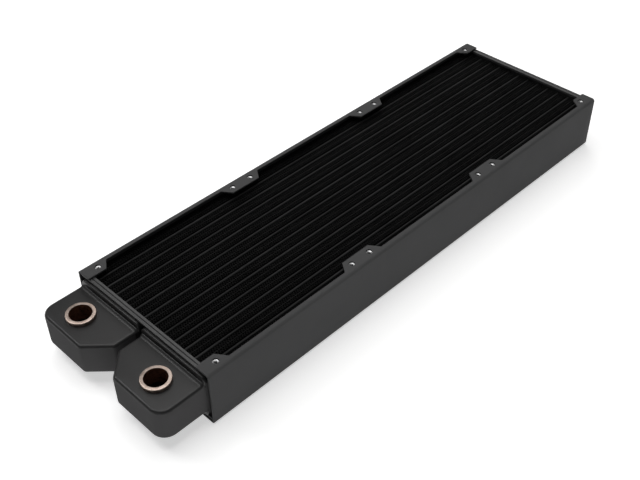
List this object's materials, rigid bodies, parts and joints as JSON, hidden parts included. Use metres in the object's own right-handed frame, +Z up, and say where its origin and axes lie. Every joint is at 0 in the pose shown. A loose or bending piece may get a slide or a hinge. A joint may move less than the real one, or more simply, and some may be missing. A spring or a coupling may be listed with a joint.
{
  "type": "liquid cooling radiator",
  "caption": "Black sheet-metal radiator with a flat-tube and fin core, fan screw tabs on both faces and threaded port collars on its end tank lobes.",
  "frame": {"origin": "middle of the whole radiator's length and width, at its lower face", "axes": "+X runs along the length, away from the port tanks; +Y across the width; +Z up through the thickness, out of the port collars"},
  "size_m": [0.3953, 0.117, 0.039],
  "materials": {
    "frame_coat": "satin black powder coat",
    "core_coat": "matte black thin coat",
    "tank_coat": "satin black coat over brass",
    "collar_copper": "bare, pale copper colour"
  },
  "bodies": {
    "root": {"side_channel_left": "frame_coat", "side_channel_right": "frame_coat", "end_rail_near_top": "frame_coat", "end_rail_near_bottom": "frame_coat", "end_rail_far_top": "frame_coat", "end_rail_far_bottom": "frame_coat", "flat_tube_01": "core_coat", "flat_tube_02": "core_coat", "flat_tube_03": "core_coat", "flat_tube_04": "core_coat", "flat_tube_05": "core_coat", "flat_tube_06": "core_coat", "flat_tube_07": "core_coat", "flat_tube_08": "core_coat", "flat_tube_09": "core_coat", "flat_tube_10": "core_coat", "flat_tube_11": "core_coat", "flat_tube_12": "core_coat", "fin_strip_01": "core_coat", "fin_strip_02": "core_coat", "fin_strip_03": "core_coat", "fin_strip_04": "core_coat", "fin_strip_05": "core_coat", "fin_strip_06": "core_coat", "fin_strip_07": "core_coat", "fin_strip_08": "core_coat", "fin_strip_09": "core_coat", "fin_strip_10": "core_coat", "fin_strip_11": "core_coat", "fin_strip_12": "core_coat", "fin_strip_13": "core_coat", "core_side_plate_left": "core_coat", "core_side_plate_right": "core_coat", "header_plate_left": "core_coat", "header_plate_right": "core_coat", "header_plate_return": "core_coat", "port_tank_left": "tank_coat", "port_tank_right": "tank_coat", "return_tank": "tank_coat", "port_collar_left": "collar_copper", "port_collar_right": "collar_copper"}
  },
  "joints": []
}
